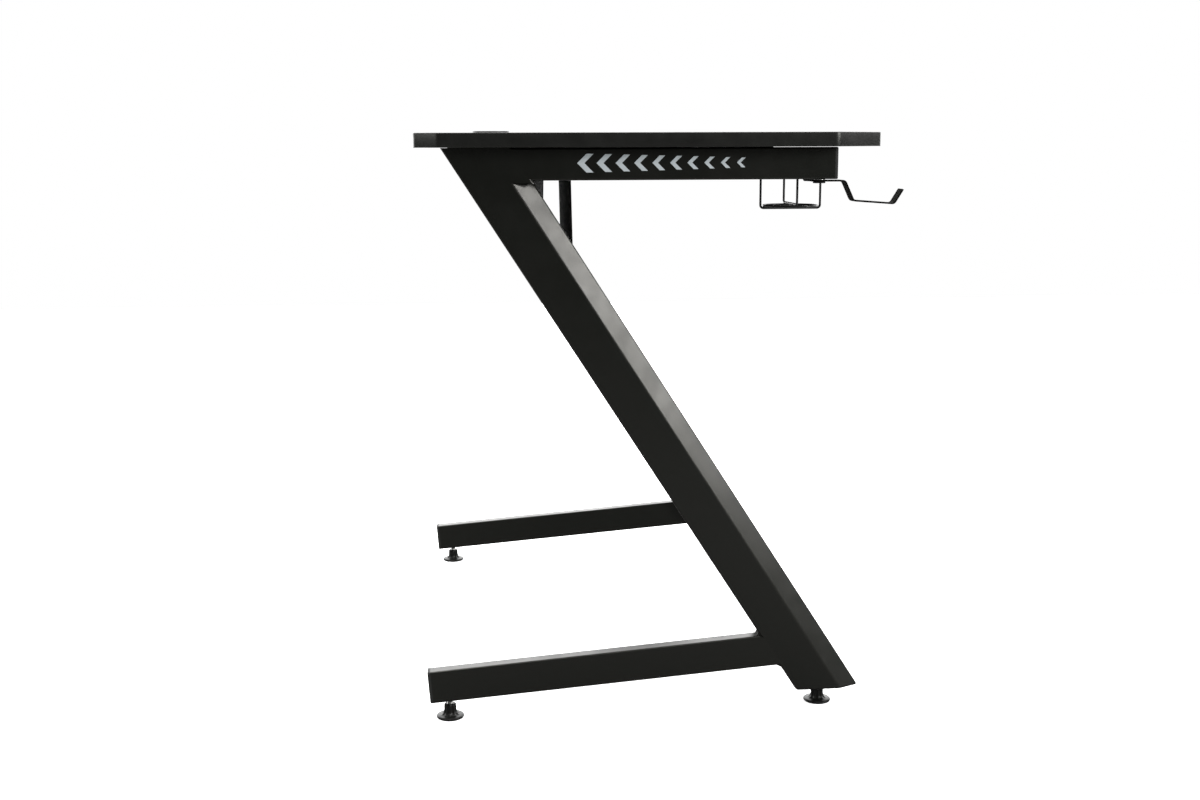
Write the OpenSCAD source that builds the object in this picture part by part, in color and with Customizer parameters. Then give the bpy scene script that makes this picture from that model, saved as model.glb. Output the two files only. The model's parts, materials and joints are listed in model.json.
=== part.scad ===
// Z-frame gaming desk: a chamfered board on two leaning side frames.
// X runs along the width, -Y is the side where the user sits, +Z is up.

/* [Desktop] */
// Width of the desktop, left to right
desk_w = 800; // [640:10:1400]
// Depth of the desktop, front to rear
desk_d = 600; // [540:10:700]
// Height of the top face above the floor
desk_h = 756; // [700:2:800]
// Thickness of the desktop
desk_t = 18; // [14:1:25]
// Front corner cut, measured along each edge
front_cut = 74; // [30:1:100]
// Rear corner cut, measured along each edge
rear_cut = 30; // [10:1:60]
// Rounding where a corner cut meets an edge
cut_r = 12; // [4:1:20]
// Thickness of the edge band
band_t = 1; // [0.5:0.1:2]
// Diameter of the cable hole in the board
hole_d = 50; // [40:1:54]
// Distance from the rear edge of the desktop to the centre of the cable hole
hole_from_rear = 103; // [95:1:110]

/* [Side frame] */
// Distance from the side of the desktop to the outer face of a frame
frame_inset = 20; // [5:1:50]
// Thickness of the beam and foot tubes across the frame
tube_t = 20; // [16:1:30]
// Wall of every frame tube
wall = 1.5; // [1:0.1:2.5]
// Outside rounding of the frame tubes
tube_r = 2.5; // [1:0.1:3]
// Height of the top beam
beam_h = 40; // [32:1:50]
// Gap between the top beam and the desktop, filled by spacers
beam_gap = 0.6; // [0.4:0.1:3]
// Distance from the front edge of the desktop to the end of the beam
beam_setback = 69.5; // [60:0.5:80]
// Width of the leaning leg, seen from the side
leg_w = 73; // [60:1:85]
// Depth of the leg across the frame
leg_t = 40; // [38:1:46]
// Bevel on the front outer corner of the leg
leg_bevel = 23; // [10:1:24]
// Distance from the rear edge of the desktop to the leg where it passes the beam top
leg_top_inset = 33; // [15:1:80]
// Distance from the front edge of the desktop to the heel of the leg
heel_inset = 108.7; // [95:0.1:150]
// Outside rounding of the leg's edges
leg_r = 1.8; // [1:0.1:3]
// Height of the foot bar tube
foot_h = 43; // [30:1:50]
// Rise of the foot bar towards the leg, in degrees
foot_rise = 4.5; // [0:0.5:8]
// Distance from the rear edge of the desktop to the rear end of the foot bar
foot_inset = 1.5; // [0:0.5:20]
// Length of an end cap outside its tube
cap_lip = 4; // [2:0.5:6]

/* [Crossbars] */
// Height of a crossbar
bar_h = 30; // [24:1:31]
// Depth of a crossbar
bar_d = 20; // [16:1:22]
// Distance from the front edge of the desktop to the front crossbar
front_bar_inset = 157; // [155:1:200]
// Distance from the rear edge of the desktop to the rear crossbar
rear_bar_inset = 67; // [60:1:68]

/* [Cable channel] */
// Length of the channel along the desk
chan_l = 252; // [160:1:400]
// Height of the channel below the desktop
chan_h = 174; // [120:1:200]
// Depth of the channel where it meets the desktop
chan_d = 38; // [32:1:50]
// Distance from the rear edge of the desktop to the middle of the channel
chan_inset = 192; // [180:1:215]
// Sheet thickness of the channel
chan_t = 1.2; // [0.8:0.1:2]
// Outward lean of each wall, in degrees
chan_splay = 1.2; // [0:0.1:3]
// Width of the lip at the foot of each wall
chan_lip = 9; // [6:0.5:12]

/* [Levelling feet] */
// Diameter of a levelling foot
glide_d = 36; // [28:1:45]
// Height of a levelling foot
glide_h = 19; // [16:1:22]
// Diameter of the threaded stud
stud_d = 8; // [6:1:10]
// Stud showing above a front foot
front_show = 2.3; // [2.3:0.1:8]
// Stud showing above a rear foot
rear_show = 5; // [4.5:0.1:12]
// Distance from the heel of the leg to the front stud
front_glide_inset = 32.3; // [24:0.1:36]
// Distance from the rear end of the foot bar to the rear stud
rear_glide_inset = 25.7; // [24:0.1:50]

/* [Hook and cup holder] */
// Distance from the front end of the beam to the pivot
pivot_inset = 22; // [20:0.5:24]
// Width of the flat arms
arm_w = 20; // [14:1:20]
// Thickness of the flat arms
arm_t = 2; // [1.5:0.1:3]
// Reach of the hook in front of the pivot
hook_reach = 107; // [90:1:140]
// Drop from the hook arm to the cradle
hook_drop = 27; // [20:1:35]
// Diameter of the cup basket, middle of the upright wires
cup_d = 79.5; // [70:0.5:84]
// Depth of the cup basket, from the ring to the first floor wire
cup_depth = 45.3; // [34:0.1:60]
// Diameter of the basket wire
wire_d = 3; // [2.5:0.1:4]
// Distance from the pivot inwards to the middle of the cup
cup_in = 72; // [68:1:84]
// Distance from the pivot back to the middle of the cup
cup_back = 20.5; // [10:0.5:30]

/* [Ornament] */
// Number of chevrons on each beam
chevrons = 10; // [4:1:10]
// Height of the largest chevron
chevron_h = 23; // [16:0.1:26]
// Height lost from one chevron to the next
chevron_step = 1.2; // [0:0.1:1.4]
// Distance from the leg to the point of the first chevron
chevron_gap = 69.4; // [50:0.1:100]
// Pitch from the first chevron to the second
chevron_pitch = 24.1; // [20:0.1:24.4]
// Pitch lost from one chevron to the next
pitch_step = 0.47; // [0.3:0.01:0.6]
// Thickness of the inlay above the beam face
chevron_t = 0.4; // [0.2:0.1:0.8]

/* [Hidden] */
eps = 0.01;
over = 2000;
lug_play = 0.05;
gap = 0.3;
plate_t = 3;
cap_plug = 10;
cap_edge = 1;
glide_disc_h = 7;
glide_rim = 3.4;
glide_edge = 1.2;
glide_neck_d = 16;
glide_collar_d = 17;
glide_collar_h = 2;
glide_top_d = 21;
stud_sink = 10;
stud_rise = 26;
insert_d = 12;
insert_h = 14;
bolt_d = 6;
bolt_head_d = 10.5;
bolt_head_h = 3;
nut_d = 9;
nut_h = 12;
screw_d = 5;
screw_head_d = 10;
screw_head_h = 2.5;
screw_bite = 11;
small_screw_d = 4;
small_head_d = 8;
small_head_h = 2;
end_plate_h = 30;
front_plate_w = 64;
rear_plate_w = 44;
bolt_side = 22;
bolt_front = 26;
bolt_up = 9;
rear_bolt_drop = 7;
pad_d = 14;
pad_from_rear = 100;
bend_r = 3;
hook_bend = 5;
bend_steps = 6;
chan_bend = 2.5;
pivot_d = 8;
pivot_head_d = 16;
pivot_head_h = 1.8;
pivot_washer_h = 0.8;
pivot_nut_h = 10;
pivot_nut_d = 13;
hub_d = 22;
hook_run = 31.3;
hook_slope = 45;
cradle_drop = 4;
tip_lean = 31.6;
tip_l = 21;
arm_rise = 6;
arm_step_in = 26;
arm_step_out = 34;
arm_under = 6;
cup_arm_w = 15;
weld_sink = 0.3;
cup_bend = 4;
cup_inner = 3;
base_in = 0.75;
weld_leg = 4.5;
weld_edge = 0.6;
hex_share = 0.55;
hex_deep_share = 0.6;
flange_d = 60;
flange_h = 2.2;
ring_play = 0.1;
ring_wall = 2.4;
cap_d = 54;
cap_t = 1.8;
skirt_h = 12;
skirt_wall = 2;
slot_w = 18;
slot_l = 16;
bevel_drop = 6;
weld_from = 12;
chevron_up = 1.2;
chevron_thin_share = 0.39;
half_share = 0.5;
screw_share = 0.35;

board_black = [0.05, 0.05, 0.055];
band_black = [0.04, 0.04, 0.045];
paint_black = [0.06, 0.06, 0.065];
plate_black = [0.07, 0.07, 0.07];
cap_grey = [0.12, 0.12, 0.12];
silver = [0.72, 0.75, 0.77];
zinc = [0.7, 0.7, 0.7];
bolt_black = [0.2, 0.2, 0.2];
rubber_black = [0.02, 0.02, 0.02];
plastic_black = [0.03, 0.03, 0.03];

hook_over = max(0, hook_reach - beam_setback - pivot_inset);
y_mid = hook_over / 2;
front_y = y_mid - desk_d / 2;
rear_y = y_mid + desk_d / 2;
under_z = desk_h - desk_t;
beam_top = under_z - beam_gap;
beam_low = beam_top - beam_h;
frame_x = desk_w / 2 - frame_inset;
heel_y = front_y + heel_inset;
heel_z = glide_h + front_show;
lean = atan((rear_y - leg_top_inset - heel_y) / (beam_top - heel_z));
leg_len = (beam_top - heel_z) / cos(lean);
beam_end_y = front_y + beam_setback;
beam_tube_y = beam_end_y + cap_lip;
stop_tilt = atan(bevel_drop / leg_bevel);
rg_y = rear_y - foot_inset - rear_glide_inset * cos(foot_rise) - foot_h * sin(foot_rise);
rg_z = glide_h + rear_show;
rg_x = frame_x - tube_t / 2;
fg_y = heel_y - front_glide_inset;
fg_z = heel_z;
fg_x = frame_x - leg_t / 2;
pivot_x = frame_x - tube_t / 2;
pivot_y = beam_end_y + pivot_inset;
arm_top = beam_low - pivot_washer_h - gap;
arm_z = arm_top - arm_t / 2;
ring_z = arm_z + arm_rise + arm_t / 2 - weld_sink + wire_d / 2;
cup_x = -pivot_x + cup_in;
cup_y = pivot_y + cup_back;
up_r = cup_d / 2;
cup_r = up_r - wire_d;
floor_z = ring_z - cup_depth;
base_r = up_r - cup_bend - base_in;
hole_y = rear_y - hole_from_rear;
ring_d = hole_d - 2 * ring_play;
ring_bore = ring_d - 2 * ring_wall;
front_bar_y = front_y + front_bar_inset;
rear_bar_y = rear_y - rear_bar_inset;
chan_y = rear_y - chan_inset;
bar_mid_z = under_z - bar_h / 2;
front_bolt_z = beam_low + beam_h / 2;
rear_bolt_z = bar_mid_z - rear_bolt_drop;
top_xs = [-desk_w / 4, 0, desk_w / 4];
chan_xs = [-chan_l * screw_share, chan_l * screw_share];

// Corner helpers: a unit vector, and a polygon whose corners are round arcs.
function unit(v) = v / norm(v);
function turn_cos(a, b) = max(-1, min(1, a * b));

module round_polygon(pts, r) {
  n = len(pts);
  spots = [for (i = [0 : n - 1])
    let (p = pts[i], a = unit(pts[(i + n - 1) % n] - p), b = unit(pts[(i + 1) % n] - p))
    let (half = acos(turn_cos(a, b)) / 2)
    [p + a * r / tan(half), p + b * r / tan(half), p + unit(a + b) * r / sin(half)]];
  polygon([for (s = spots) each [s[0], s[1]]]);
  for (s = spots) translate(s[2]) circle(r);
}

// Flat strip along a path of points in one plane, with round bends.
function turned(v, a) = [v[0] * cos(a) - v[1] * sin(a), v[0] * sin(a) + v[1] * cos(a)];
function left_of(v) = [-v[1], v[0]];

function strip_side(pts, r, t, hand) =
  let (n = len(pts), dirs = [for (i = [0 : n - 2]) unit(pts[i + 1] - pts[i])])
  [for (i = [0 : n - 1])
    let (d = dirs[max(0, i - 1)], e = dirs[min(n - 2, i)])
    let (a = acos(turn_cos(d, e)), side = cross(d, e) > 0 ? 1 : -1)
    let (nrm = side * left_of(d), mid = pts[i] - d * r * tan(a / 2) + nrm * r)
    each (i == 0 || i == n - 1 || a < eps)
      ? [pts[i] + left_of(d) * hand * t / 2]
      : [for (k = [0 : bend_steps]) mid - turned(nrm, side * a * k / bend_steps) * (r - hand * side * t / 2)]];

module strip_outline(pts, r, t) {
  a = strip_side(pts, r, t, 1);
  b = strip_side(pts, r, t, -1);
  polygon(concat(a, [for (i = [len(b) - 1 : -1 : 0]) b[i]]));
}

// A shape drawn in the plane of depth and height, thickened across the desk.
module side_sheet(x_lo, w) {
  translate([x_lo, 0, 0]) rotate([90, 0, 90]) linear_extrude(w) children();
}

module at_both_sides() {
  children();
  mirror([1, 0, 0]) children();
}

// Desktop
function board_pts(inset) =
  let (w = desk_w / 2 - inset, lo = front_y + inset, hi = rear_y - inset)
  let (f = front_cut - inset * (2 - sqrt(2)), r = rear_cut - inset * (2 - sqrt(2)))
  [[-w + f, lo], [w - f, lo], [w, lo + f], [w, hi - r], [w - r, hi], [-w + r, hi], [-w, hi - r], [-w, lo + f]];

module board_outline(inset) {
  round_polygon(board_pts(inset), cut_r - inset);
}

module desktop_panel() {
  color(board_black)
    difference() {
      translate([0, 0, under_z]) linear_extrude(desk_t) board_outline(band_t);
      translate([0, hole_y, under_z - eps]) cylinder(h = desk_t + 2 * eps, d = hole_d);
      for (x = top_xs, y = [front_bar_y, rear_bar_y])
        translate([x, y, under_z - eps]) cylinder(h = screw_bite + eps, d = screw_d);
      for (x = chan_xs)
        translate([x, chan_y, under_z - eps]) cylinder(h = screw_bite + eps, d = small_screw_d);
    }
}

module desktop_edge_band() {
  color(band_black)
    translate([0, 0, under_z]) linear_extrude(desk_t)
      difference() {
        board_outline(0);
        board_outline(band_t);
      }
}

// Leaning leg, drawn for the left side
function leg_pts(inset, bevel) =
  let (b = bevel - inset * (2 - sqrt(2)))
  bevel > 0
    ? [[inset, -inset], [inset, inset + b - leg_w], [inset + b, inset - leg_w],
       [leg_t - inset, inset - leg_w], [leg_t - inset, -inset]]
    : [[inset, -inset], [inset, inset - leg_w], [leg_t - inset, inset - leg_w], [leg_t - inset, -inset]];

module leg_prism(inset, bevel) {
  translate([-frame_x, heel_y, heel_z]) rotate([-lean, 0, 0])
    translate([0, 0, -leg_w]) linear_extrude(leg_len + 2 * leg_w)
      round_polygon(leg_pts(inset, bevel), max(leg_r - inset, wall / 3));
}

module slab(lo, hi) {
  translate([-over, -over, lo]) cube([2 * over, 2 * over, hi - lo]);
}

// The bevel ends at a plane that falls inwards from the underside of the beam
module bevel_end(lift, lo, hi) {
  translate([-frame_x, 0, beam_low]) rotate([0, stop_tilt, 0])
    translate([-over / 2, -over, lift + lo]) cube([over, 2 * over, hi - lo]);
}

// The bevelled stretch reaches a hair past that plane, so that it merges with the stretch above
module leg_below(inset, lift) {
  intersection() {
    leg_prism(inset, leg_bevel);
    bevel_end(lift, -over, eps);
  }
}

module leg_above(inset, lift) {
  intersection() {
    leg_prism(inset, 0);
    bevel_end(lift, 0, over);
  }
}

module leg_solid() {
  intersection() {
    union() {
      leg_below(0, 0);
      leg_above(0, 0);
    }
    slab(heel_z, beam_top);
  }
}

module leg_shape() {
  difference() {
    leg_solid();
    leg_below(wall, wall);
    leg_above(wall, wall);
    for (dz = [-bolt_up, bolt_up])
      translate([-frame_x + leg_t - 2 * wall, rear_bar_y - bolt_front, rear_bolt_z + dz]) rotate([0, 90, 0])
        cylinder(h = 3 * wall, d = nut_d);
  }
}

module crown_shape() {
  intersection() {
    leg_prism(wall, 0);
    slab(beam_top - plate_t, beam_top);
  }
}

module sole_shape() {
  difference() {
    intersection() {
      leg_prism(wall, leg_bevel);
      slab(heel_z, heel_z + plate_t);
    }
    translate([-fg_x, fg_y, heel_z - eps]) cylinder(h = plate_t + 2 * eps, d = insert_d);
  }
}

// All that lies between two planes parallel to the rear face of the leg
module leg_zone(lo, hi) {
  translate([-frame_x, heel_y, heel_z]) rotate([-lean, 0, 0])
    translate([-over / 2, lo, -over]) cube([over, hi - lo, 2 * over]);
}

// Rectangular tube profile with round corners
module tube_outline(w, h, inset) {
  round_polygon([[inset, inset], [w - inset, inset], [w - inset, h - inset], [inset, h - inset]],
    max(tube_r - inset, wall / 2));
}

module beam_bar(inset) {
  translate([-frame_x, over + beam_tube_y - (inset > 0 ? eps : 0), beam_low]) rotate([90, 0, 0])
    linear_extrude(over + (inset > 0 ? eps : 0)) tube_outline(tube_t, beam_h, inset);
}

module beam_shape() {
  difference() {
    intersection() {
      difference() {
        beam_bar(0);
        beam_bar(wall);
      }
      leg_zone(-over, -leg_w);
      slab(0, over);
    }
    translate([-pivot_x, pivot_y, beam_low - eps]) cylinder(h = 2 * wall, d = pivot_d);
    for (dy = [-bolt_side, bolt_side])
      translate([-frame_x + tube_t - 2 * wall, front_bar_y + dy, front_bolt_z]) rotate([0, 90, 0])
        cylinder(h = 3 * wall, d = nut_d);
  }
}

// Plug and lip of a tube end cap, lip towards -Y from 0
module end_cap(w, h) {
  difference() {
    union() {
      rotate([90, 0, 0]) linear_extrude(cap_lip) tube_outline(w, h, 0);
      rotate([90, 0, 0]) mirror([0, 0, 1]) linear_extrude(cap_plug) tube_outline(w, h, wall);
    }
    rotate([90, 0, 0]) mirror([0, 0, 1]) linear_extrude(cap_plug + eps) tube_outline(w, h, 2 * wall);
    for (z = [0, h])
      translate([w / 2, -cap_lip, z]) rotate([45, 0, 0])
        cube([w + 2 * eps, sqrt(2) * cap_edge, sqrt(2) * cap_edge], center = true);
  }
}

module beam_cap_shape() {
  translate([-frame_x, beam_tube_y, beam_low]) end_cap(tube_t, beam_h);
}

// Foot bar, in a frame that starts under the bar at the rear stud
module foot_frame() {
  translate([-frame_x, rg_y, rg_z]) rotate([-foot_rise, 0, 0]) children();
}

module foot_prism(inset) {
  more = inset > 0 ? eps : 0;
  foot_frame() translate([0, rear_glide_inset - cap_lip + more, 0]) rotate([90, 0, 0])
    linear_extrude(over) tube_outline(tube_t, foot_h, inset);
}

module foot_bar_shape() {
  difference() {
    intersection() {
      difference() {
        foot_prism(0);
        foot_prism(wall);
      }
      leg_zone(0, over);
    }
    translate([-rg_x, rg_y, rg_z - insert_h]) cylinder(h = 2 * insert_h, d = insert_d);
  }
}

module foot_cap_shape() {
  foot_frame() translate([0, rear_glide_inset - cap_lip, 0]) mirror([0, 1, 0]) end_cap(tube_t, foot_h);
}

// Weld beads in the corners between the tubes and the leg
function foot_line(h) =
  let (t = (rg_y + h * sin(foot_rise) - heel_y - (rg_z + h * cos(foot_rise) - heel_z) * tan(lean))
    / (cos(foot_rise) + sin(foot_rise) * tan(lean)))
  [rg_y + h * sin(foot_rise) - t * cos(foot_rise), rg_z + h * cos(foot_rise) + t * sin(foot_rise)];

module bead(from, p, a, b) {
  side_sheet(-frame_x + from, tube_t - weld_edge - from) polygon([p, p + a * weld_leg, p + b * weld_leg]);
}

module welds_shape() {
  up = [sin(lean), cos(lean)];
  away = [cos(foot_rise), -sin(foot_rise)];
  bead(weld_from, [leg_front_y(beam_low), beam_low], [-1, 0], -up);
  bead(weld_edge, foot_line(foot_h), away, up);
  bead(weld_edge, foot_line(0), away, -up);
}

// Ornament: chevrons that shrink from the leg towards the front
function chev_h(i) = chevron_h - chevron_step * i;
function chev_y(i) = -chevron_pitch * i + pitch_step * i * (i - 1) / 2;
function leg_front_y(z) = heel_y + (z - heel_z) * tan(lean) - leg_w / cos(lean);

module chevron_shapes() {
  mid_z = beam_low + beam_h / 2 + chevron_up;
  first_y = leg_front_y(mid_z) - chevron_gap;
  for (i = [0 : chevrons - 1]) {
    h = chev_h(i) / 2;
    t = chev_h(i) * chevron_thin_share;
    translate([-frame_x - chevron_t, first_y + chev_y(i), mid_z]) rotate([90, 0, 90])
      linear_extrude(chevron_t)
        polygon([[0, 0], [-h, h], [-h - t, h], [-t, 0], [-h - t, -h], [-h, -h]]);
  }
}

// Crossbars and their end plates
module crossbar(y, x_end) {
  difference() {
    translate([-x_end, y - bar_d / 2, under_z - bar_h]) rotate([90, 0, 90])
      linear_extrude(2 * x_end)
        difference() {
          tube_outline(bar_d, bar_h, 0);
          tube_outline(bar_d, bar_h, wall);
        }
    for (x = top_xs)
      translate([x, y, under_z - bar_h - eps]) cylinder(h = bar_h + 2 * eps, d = screw_d);
  }
}

module end_plate(x_in, y_lo, y_hi, z_mid, spots) {
  difference() {
    translate([-x_in, 0, 0]) rotate([90, 0, 90]) linear_extrude(plate_t)
      round_polygon([[y_lo, z_mid - end_plate_h / 2], [y_hi, z_mid - end_plate_h / 2],
        [y_hi, z_mid + end_plate_h / 2], [y_lo, z_mid + end_plate_h / 2]], bend_r);
    for (p = spots)
      translate([-x_in - eps, p[0], p[1]]) rotate([0, 90, 0]) cylinder(h = plate_t + 2 * eps, d = bolt_d);
  }
}

front_spots = [[front_bar_y - bolt_side, front_bolt_z], [front_bar_y + bolt_side, front_bolt_z]];
rear_spots = [[rear_bar_y - bolt_front, rear_bolt_z - bolt_up],
  [rear_bar_y - bolt_front, rear_bolt_z + bolt_up]];
front_in = frame_x - tube_t;
rear_in = frame_x - leg_t;

module front_plate() {
  y_lo = front_bar_y - front_plate_w / 2;
  end_plate(front_in, y_lo, y_lo + front_plate_w, front_bolt_z, front_spots);
}

module rear_plate() {
  y_hi = rear_bar_y + bar_d / 2;
  end_plate(rear_in, y_hi - rear_plate_w, y_hi, rear_bolt_z, rear_spots);
}

module hex_prism(h, d) {
  linear_extrude(h) polygon([for (i = [0 : 5]) d / 2 * [cos(60 * i), sin(60 * i)]]);
}

// Bolts point outwards from the plates into the frame
module side_bolt(x_in, p) {
  translate([-x_in + plate_t, p[0], p[1]]) rotate([0, 90, 0]) {
    difference() {
      cylinder(h = bolt_head_h, d = bolt_head_d);
      translate([0, 0, bolt_head_h * (1 - hex_deep_share)]) hex_prism(bolt_head_h, bolt_head_d * hex_share);
    }
    translate([0, 0, -plate_t - wall - nut_h]) cylinder(h = plate_t + wall + nut_h, d = bolt_d);
  }
}

module side_nut(x_in, p) {
  translate([-x_in, p[0], p[1]]) rotate([0, -90, 0])
    difference() {
      cylinder(h = nut_h, d = nut_d);
      translate([0, 0, -eps]) cylinder(h = nut_h + 2 * eps, d = bolt_d);
    }
}

module up_screw(x, y, z, d, head_d, head_h, long) {
  difference() {
    translate([x, y, z - head_h]) cylinder(h = head_h, d = head_d);
    translate([x, y, z - head_h - eps]) hex_prism(head_h * hex_deep_share, head_d * hex_share);
  }
  translate([x, y, z - eps]) cylinder(h = long + eps, d = d);
}

module leg_pad() {
  translate([-frame_x + leg_t / 2, rear_y - pad_from_rear, beam_top]) cylinder(h = beam_gap, d = pad_d);
}

// Open-ended sheet channel under the middle of the desktop
module cable_channel() {
  half = chan_d / 2 - chan_t / 2;
  deep = chan_h - chan_t;
  out = half + deep * tan(chan_splay);
  color(paint_black)
    difference() {
      translate([0, chan_y, under_z - chan_t / 2])
        side_sheet(-chan_l / 2, chan_l)
          strip_outline([[-out + chan_lip, -deep], [-out, -deep], [-half, 0], [half, 0], [out, -deep],
            [out - chan_lip, -deep]], chan_bend, chan_t);
      for (x = chan_xs)
        translate([x, chan_y, under_z - chan_t - eps]) cylinder(h = chan_t + 2 * eps, d = small_screw_d);
    }
}

// Levelling feet
module glide_pad(x, y) {
  color(plastic_black)
    translate([x, y, 0])
      difference() {
        union() {
          rotate_extrude()
            polygon([[0, 0], [glide_d / 2 - glide_edge, 0], [glide_d / 2, glide_edge],
              [glide_d / 2, glide_rim - glide_edge], [glide_d / 2 - glide_edge, glide_rim],
              [glide_top_d / 2, glide_disc_h], [0, glide_disc_h]]);
          translate([0, 0, glide_rim]) hex_prism(glide_h - glide_collar_h - glide_rim, glide_neck_d);
          translate([0, 0, glide_h - glide_collar_h]) cylinder(h = glide_collar_h, d = glide_collar_d);
        }
        translate([0, 0, glide_h - stud_sink]) cylinder(h = stud_sink + eps, d = stud_d);
      }
}

module glide_stud(x, y, z) {
  color(zinc)
    translate([x, y, glide_h - stud_sink]) cylinder(h = z + stud_rise - glide_h + stud_sink, d = stud_d);
}

module glide_insert(x, y, z) {
  translate([x, y, z])
    difference() {
      cylinder(h = insert_h, d = insert_d);
      translate([0, 0, -eps]) cylinder(h = insert_h + 2 * eps, d = stud_d + 2 * lug_play);
    }
}

// Pivot
module pivot_bolt() {
  top = beam_low + wall + pivot_nut_h;
  head = arm_top - arm_t - gap;
  color(bolt_black)
    translate([-pivot_x, pivot_y, 0]) {
      difference() {
        translate([0, 0, head - pivot_head_h]) cylinder(h = pivot_head_h, d = pivot_head_d);
        translate([0, 0, head - pivot_head_h - eps])
          hex_prism(pivot_head_h * hex_deep_share, pivot_head_d * hex_share / 2);
      }
      translate([0, 0, head - eps]) cylinder(h = top - head + eps, d = pivot_d);
    }
}

module pivot_ring_shape(z, h, d) {
  translate([-pivot_x, pivot_y, z])
    difference() {
      cylinder(h = h, d = d);
      translate([0, 0, -eps]) cylinder(h = h + 2 * eps, d = pivot_d);
    }
}

// One bent plate: hub, hook towards the front, arm towards the cup
module swivel_bracket() {
  tip_y = -hook_reach + arm_t / 2 * cos(tip_lean);
  foot_y = tip_y + tip_l * sin(tip_lean);
  foot_z = -hook_drop - arm_t;
  back_y = -hook_run - (hook_drop - cradle_drop) * half_share;
  color(paint_black)
    difference() {
      union() {
        translate([-pivot_x, pivot_y, arm_z - arm_t / 2]) cylinder(h = arm_t, d = hub_d);
        translate([0, pivot_y, arm_z]) side_sheet(-pivot_x - arm_w / 2, arm_w)
          strip_outline([[0, 0], [-hook_run, 0], [back_y, -hook_drop + arm_t], [foot_y, foot_z],
            [tip_y, foot_z + tip_l * cos(tip_lean)]], hook_bend, arm_t);
        translate([-pivot_x, pivot_y, arm_z])
          rotate([0, 0, atan2(cup_back, cup_in)])
            translate([0, cup_arm_w / 2, 0]) rotate([90, 0, 0]) linear_extrude(cup_arm_w)
              strip_outline([[0, 0], [arm_step_in, 0], [arm_step_out, arm_rise],
                [norm([cup_in, cup_back]) - cup_r + arm_under, arm_rise]], bend_r, arm_t);
      }
      translate([-pivot_x, pivot_y, arm_z - arm_t]) cylinder(h = 2 * arm_t, d = pivot_d + 2 * lug_play);
      hoop(cup_r, ring_z);
    }
}

// Wire basket
module hoop(r, z) {
  translate([cup_x, cup_y, z]) rotate_extrude() translate([r, 0]) circle(d = wire_d);
}

module wire_bend() {
  rotate_extrude(angle = 90) translate([cup_bend, 0]) circle(d = wire_d);
}

// Half of a U wire: from the middle of the floor out and up to the hoop
module wire_half(low) {
  flat = up_r - cup_bend;
  translate([0, 0, low]) rotate([0, 90, 0]) cylinder(h = flat, d = wire_d);
  translate([flat, 0, low + cup_bend]) rotate([90, 0, 0]) rotate([0, 0, -90]) wire_bend();
  translate([up_r, 0, low + cup_bend]) cylinder(h = ring_z + wire_d / 2 - low - cup_bend, d = wire_d);
}

module u_wire(low) {
  wire_half(low);
  mirror([1, 0, 0]) wire_half(low);
}

// Cable outlet
module grommet_ring() {
  color(plastic_black)
    translate([0, hole_y, 0]) rotate_extrude()
      polygon([[ring_bore / 2, under_z], [ring_d / 2, under_z], [ring_d / 2, desk_h],
        [flange_d / 2, desk_h], [flange_d / 2, desk_h + flange_h], [ring_bore / 2, desk_h + flange_h]]);
}

module grommet_cap() {
  base = desk_h + flange_h + gap;
  skirt = ring_bore - 2 * lug_play;
  color(plastic_black)
    translate([0, hole_y, 0]) difference() {
      union() {
        translate([0, 0, base]) cylinder(h = cap_t, d = cap_d);
        translate([0, 0, base - skirt_h]) cylinder(h = skirt_h + eps, d = skirt);
      }
      translate([0, 0, base - skirt_h - eps]) cylinder(h = skirt_h + eps, d = skirt - 2 * skirt_wall);
      translate([-slot_w / 2, skirt / 2 - slot_l, base - skirt_h - eps])
        cube([slot_w, slot_l - skirt_wall, skirt_h + cap_t + 2 * eps]);
    }
}

// Frame pieces of the left side and their mirror images on the right
module left_leg() {
  color(paint_black) leg_shape();
}

module right_leg() {
  color(paint_black) mirror([1, 0, 0]) leg_shape();
}

module left_beam() {
  color(paint_black) beam_shape();
}

module right_beam() {
  color(paint_black) mirror([1, 0, 0]) beam_shape();
}

module left_foot_bar() {
  color(paint_black) foot_bar_shape();
}

module right_foot_bar() {
  color(paint_black) mirror([1, 0, 0]) foot_bar_shape();
}

module left_beam_cap() {
  color(cap_grey) beam_cap_shape();
}

module right_beam_cap() {
  color(cap_grey) mirror([1, 0, 0]) beam_cap_shape();
}

module left_foot_cap() {
  color(cap_grey) foot_cap_shape();
}

module right_foot_cap() {
  color(cap_grey) mirror([1, 0, 0]) foot_cap_shape();
}

module left_leg_crown() {
  color(plate_black) crown_shape();
}

module right_leg_crown() {
  color(plate_black) mirror([1, 0, 0]) crown_shape();
}

module left_leg_sole() {
  color(plate_black) sole_shape();
}

module right_leg_sole() {
  color(plate_black) mirror([1, 0, 0]) sole_shape();
}

module left_welds() {
  color(plate_black) welds_shape();
}

module right_welds() {
  color(plate_black) mirror([1, 0, 0]) welds_shape();
}

module left_chevrons() {
  color(silver) chevron_shapes();
}

module right_chevrons() {
  color(silver) mirror([1, 0, 0]) chevron_shapes();
}

// Crossbars, their plates and all fasteners
module front_crossbar() {
  color(paint_black) crossbar(front_bar_y, front_in - plate_t);
}

module rear_crossbar() {
  color(paint_black) crossbar(rear_bar_y, rear_in - plate_t);
}

module front_end_plates() {
  color(plate_black) at_both_sides() front_plate();
}

module rear_end_plates() {
  color(plate_black) at_both_sides() rear_plate();
}

module frame_bolts() {
  color(bolt_black)
    at_both_sides() {
      for (p = front_spots) side_bolt(front_in, p);
      for (p = rear_spots) side_bolt(rear_in, p);
    }
}

module frame_inserts() {
  color(zinc)
    at_both_sides() {
      for (p = front_spots) side_nut(front_in, p);
      for (p = rear_spots) side_nut(rear_in, p);
    }
}

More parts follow.
